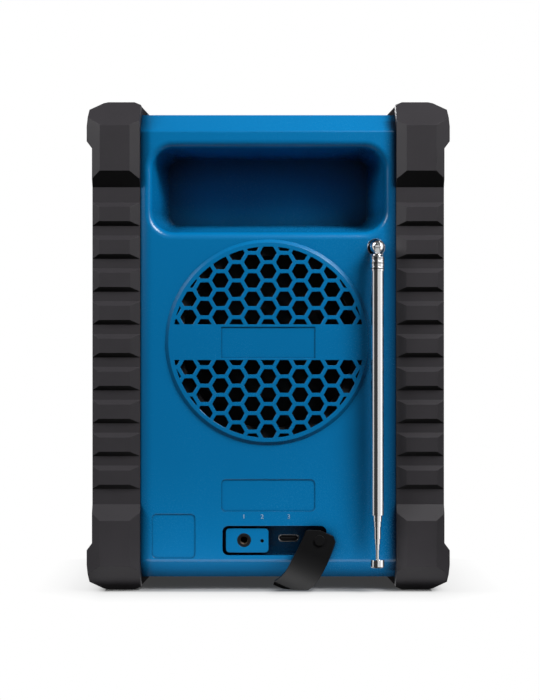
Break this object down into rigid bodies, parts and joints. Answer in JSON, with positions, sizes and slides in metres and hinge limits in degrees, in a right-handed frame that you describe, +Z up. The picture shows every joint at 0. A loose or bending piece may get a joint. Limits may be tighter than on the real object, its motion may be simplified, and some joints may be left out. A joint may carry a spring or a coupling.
{
  "type": "jobsite radio",
  "caption": "Rugged portable radio with rubber end bumpers, a grip pocket under its top bar, a honeycomb vent, a telescopic mast and a port bay with a rubber cover.",
  "frame": {"origin": "on the resting surface, under the middle of the radio", "axes": "+Z up; -Y is the pictured rear side with the vent, mast and ports; +X is to the right in that view"},
  "size_m": [0.1552, 0.1276, 0.21],
  "materials": {
    "housing_blue": "moulded ABS with a fine satin sheen",
    "bumper_rubber": "moulded black rubber, matt",
    "flap_rubber": "soft black rubber",
    "seal_rubber": "matt",
    "mast_chrome": "bright plated tube",
    "port_black": "fine matt",
    "port_steel": "bright pressed shell",
    "screw_steel": "zinc plated",
    "board_green": "solder mask",
    "driver_steel": "black paint",
    "magnet_iron": "dark, dull",
    "cone_paper": "pressed fibre",
    "coil_copper": "enamelled wire",
    "grille_metal": "black powder coat",
    "control_black": "fine texture",
    "key_grey": "soft matt",
    "window_clear": "smoked clear plastic",
    "screen_dark": "dark, glossy",
    "cell_wrap": "shrink sleeve",
    "cradle_black": "matt"
  },
  "bodies": {
    "housing": {"rear_shell": "housing_blue", "front_shell": "housing_blue", "shell_gasket": "seal_rubber", "vent_grille": "housing_blue", "left_bumper": "bumper_rubber", "right_bumper": "bumper_rubber", "port_board": "board_green", "usb_c_socket": "port_steel", "aux_jack": "port_black", "reset_switch": "port_black", "volume_encoder": "port_steel", "tuning_encoder": "port_steel", "key_switches": "port_black", "key_board": "board_green", "main_board": "board_green", "display_window": "window_clear", "display_module": "screen_dark", "speaker_grille": "grille_metal", "speaker_frame": "driver_steel", "speaker_magnet": "magnet_iron", "speaker_surround": "seal_rubber", "radiator_frame": "driver_steel", "radiator_surround": "seal_rubber", "battery_cradle": "cradle_black", "battery_cells": "cell_wrap", "shell_screws": "screw_steel", "board_screws": "screw_steel", "driver_screws": "screw_steel"},
    "mast_swivel": {"antenna_stud": "mast_chrome", "antenna_nut": "screw_steel", "antenna_hinge_pin": "mast_chrome"},
    "mast_base": {"antenna_ferrule": "mast_chrome", "antenna_tube_1": "mast_chrome"},
    "mast_2": {"antenna_tube_2": "mast_chrome"},
    "mast_3": {"antenna_tube_3": "mast_chrome"},
    "mast_4": {"antenna_tube_4": "mast_chrome"},
    "mast_5": {"antenna_tube_5": "mast_chrome"},
    "mast_6": {"antenna_tube_6": "mast_chrome"},
    "mast_rod": {"antenna_rod": "mast_chrome", "antenna_tip": "mast_chrome"},
    "port_cover": {"port_flap": "flap_rubber"},
    "reset_key": {"reset_plunger": "port_black"},
    "volume_press": {"volume_press_pin": "port_steel"},
    "volume_turn": {"volume_shaft": "screw_steel", "volume_knob": "control_black"},
    "tuning_press": {"tuning_press_pin": "port_steel"},
    "tuning_turn": {"tuning_shaft": "screw_steel", "tuning_knob": "control_black"},
    "key_1": {"button_1": "key_grey"},
    "key_2": {"button_2": "key_grey"},
    "key_3": {"button_3": "key_grey"},
    "key_4": {"button_4": "key_grey"},
    "key_5": {"button_5": "key_grey"},
    "key_6": {"button_6": "key_grey"},
    "cone": {"speaker_cone": "cone_paper", "voice_coil": "coil_copper"},
    "radiator": {"radiator_plate": "driver_steel"}
  },
  "joints": [
    {"name": "mast_swivel_turn", "type": "hinge", "parent": "housing", "child": "mast_swivel", "pos_m": [0.0462, -0.0606, 0.1471], "axis": [0, -1, 0], "range_deg": [-3, 300]},
    {"name": "mast_fold", "type": "hinge", "parent": "mast_swivel", "child": "mast_base", "pos_m": [0.0462, -0.0606, 0.1471], "axis": [-1, 0, 0], "range_deg": [0, 90]},
    {"name": "mast_2_draw", "type": "slide", "parent": "mast_base", "child": "mast_2", "axis": [0, 0, -1], "range_m": [0, 0.095]},
    {"name": "mast_3_draw", "type": "slide", "parent": "mast_2", "child": "mast_3", "axis": [0, 0, -1], "range_m": [0, 0.095]},
    {"name": "mast_4_draw", "type": "slide", "parent": "mast_3", "child": "mast_4", "axis": [0, 0, -1], "range_m": [0, 0.095]},
    {"name": "mast_5_draw", "type": "slide", "parent": "mast_4", "child": "mast_5", "axis": [0, 0, -1], "range_m": [0, 0.095]},
    {"name": "mast_6_draw", "type": "slide", "parent": "mast_5", "child": "mast_6", "axis": [0, 0, -1], "range_m": [0, 0.095]},
    {"name": "mast_rod_draw", "type": "slide", "parent": "mast_6", "child": "mast_rod", "axis": [0, 0, -1], "range_m": [0, 0.095]},
    {"name": "port_cover_swing", "type": "hinge", "parent": "housing", "child": "port_cover", "pos_m": [0.0219, -0.053, 0.022], "axis": [0, 1, 0], "range_deg": [0, 65]},
    {"name": "reset_press", "type": "slide", "parent": "housing", "child": "reset_key", "axis": [0, 1, 0], "range_m": [0, 0.00025], "stiffness_N_per_m": 500, "springref_m": -0.0005},
    {"name": "volume_push", "type": "slide", "parent": "housing", "child": "volume_press", "axis": [0, -1, 0], "range_m": [0, 0.0005], "stiffness_N_per_m": 1500, "springref_m": -0.001},
    {"name": "volume_rotate", "type": "hinge", "parent": "volume_press", "child": "volume_turn", "pos_m": [-0.038, 0.055, 0.132], "axis": [0, 1, 0], "continuous": true},
    {"name": "tuning_push", "type": "slide", "parent": "housing", "child": "tuning_press", "axis": [0, -1, 0], "range_m": [0, 0.0005], "stiffness_N_per_m": 1500, "springref_m": -0.001},
    {"name": "tuning_rotate", "type": "hinge", "parent": "tuning_press", "child": "tuning_turn", "pos_m": [0.038, 0.055, 0.132], "axis": [0, 1, 0], "continuous": true},
    {"name": "key_1_press", "type": "slide", "parent": "housing", "child": "key_1", "axis": [0, -1, 0], "range_m": [0, 0.0006], "stiffness_N_per_m": 400, "springref_m": -0.0006},
    {"name": "key_2_press", "type": "slide", "parent": "housing", "child": "key_2", "axis": [0, -1, 0], "range_m": [0, 0.0006], "stiffness_N_per_m": 400, "springref_m": -0.0006},
    {"name": "key_3_press", "type": "slide", "parent": "housing", "child": "key_3", "axis": [0, -1, 0], "range_m": [0, 0.0006], "stiffness_N_per_m": 400, "springref_m": -0.0006},
    {"name": "key_4_press", "type": "slide", "parent": "housing", "child": "key_4", "axis": [0, -1, 0], "range_m": [0, 0.0006], "stiffness_N_per_m": 400, "springref_m": -0.0006},
    {"name": "key_5_press", "type": "slide", "parent": "housing", "child": "key_5", "axis": [0, -1, 0], "range_m": [0, 0.0006], "stiffness_N_per_m": 400, "springref_m": -0.0006},
    {"name": "key_6_press", "type": "slide", "parent": "housing", "child": "key_6", "axis": [0, -1, 0], "range_m": [0, 0.0006], "stiffness_N_per_m": 400, "springref_m": -0.0006},
    {"name": "cone_stroke", "type": "slide", "parent": "housing", "child": "cone", "axis": [0, 1, 0], "range_m": [-0.0025, 0.0025], "stiffness_N_per_m": 1200, "deforming": ["speaker_surround"]},
    {"name": "radiator_stroke", "type": "slide", "parent": "housing", "child": "radiator", "axis": [0, -1, 0], "range_m": [-0.0025, 0.0025], "stiffness_N_per_m": 800, "deforming": ["radiator_surround"]}
  ]
}
